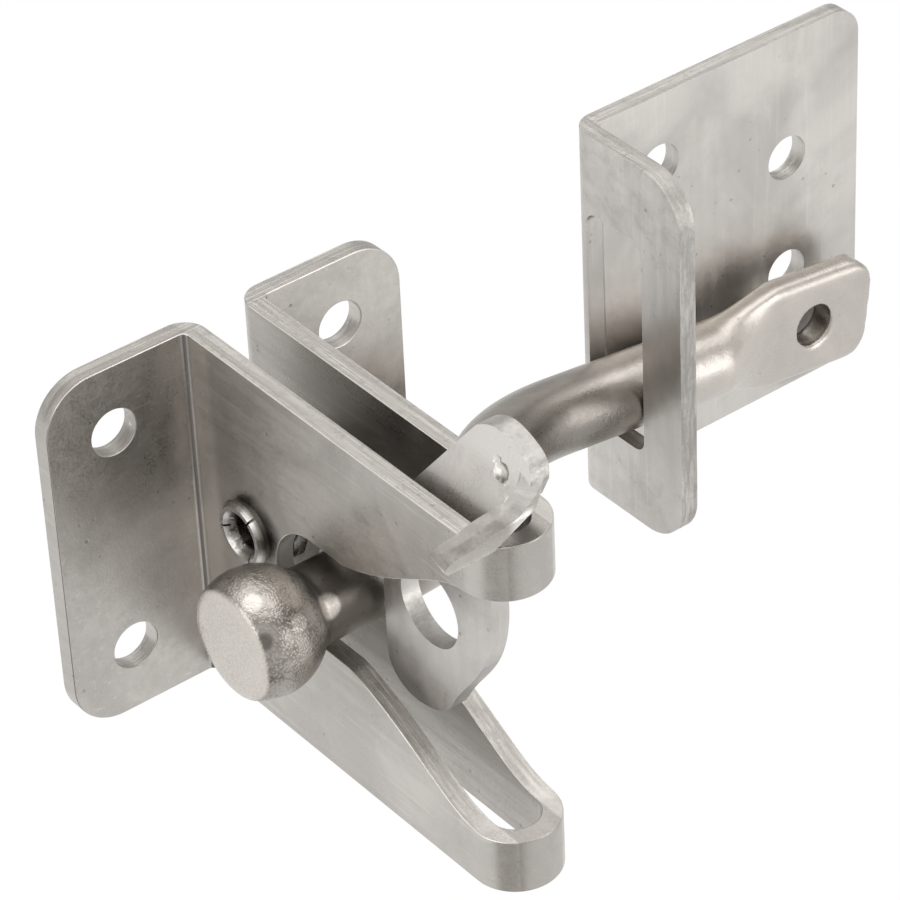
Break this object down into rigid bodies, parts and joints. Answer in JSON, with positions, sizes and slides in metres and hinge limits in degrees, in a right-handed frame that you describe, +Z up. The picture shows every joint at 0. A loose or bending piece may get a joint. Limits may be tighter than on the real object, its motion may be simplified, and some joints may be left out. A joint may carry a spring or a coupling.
{
  "type": "self-adjusting gate latch",
  "caption": "Two-part gravity gate latch: hairpin sheet catch with a pivoting pawl and ring, and a bent striker bar in a slotted angle bracket.",
  "frame": {"origin": "on the mounting face, midway between the two webs of the latch body and at half its height", "axes": "+X out of the mounting face, +Y from the latch body to the guide bracket, +Z up"},
  "size_m": [0.072, 0.1508, 0.0728],
  "materials": {
    "latch_steel": "tumbled stainless sheet, satin",
    "rivet_steel": "bright stainless, formed",
    "pawl_steel": "tumbled stainless plate, smooth",
    "bar_steel": "stainless bar, hammered and tumbled",
    "guide_steel": "tumbled stainless sheet, satin"
  },
  "bodies": {
    "mounting": {"latch_body": "latch_steel", "pivot_rivet": "rivet_steel", "front_spacer": "rivet_steel", "rear_spacer": "rivet_steel", "guide_bracket": "guide_steel"},
    "pawl": {"pawl": "pawl_steel"},
    "striker_bar": {"striker_bar": "bar_steel"}
  },
  "joints": [
    {"name": "pawl_pivot", "type": "hinge", "parent": "mounting", "child": "pawl", "pos_m": [0.0155, 0, 0.0025], "axis": [0, -1, 0], "range_deg": [0, 38]},
    {"name": "bar_swing", "type": "hinge", "parent": "mounting", "child": "striker_bar", "pos_m": [0.01, 0.104, -0.01589], "axis": [1, 0, 0], "range_deg": [-0.7, 1.3]}
  ]
}
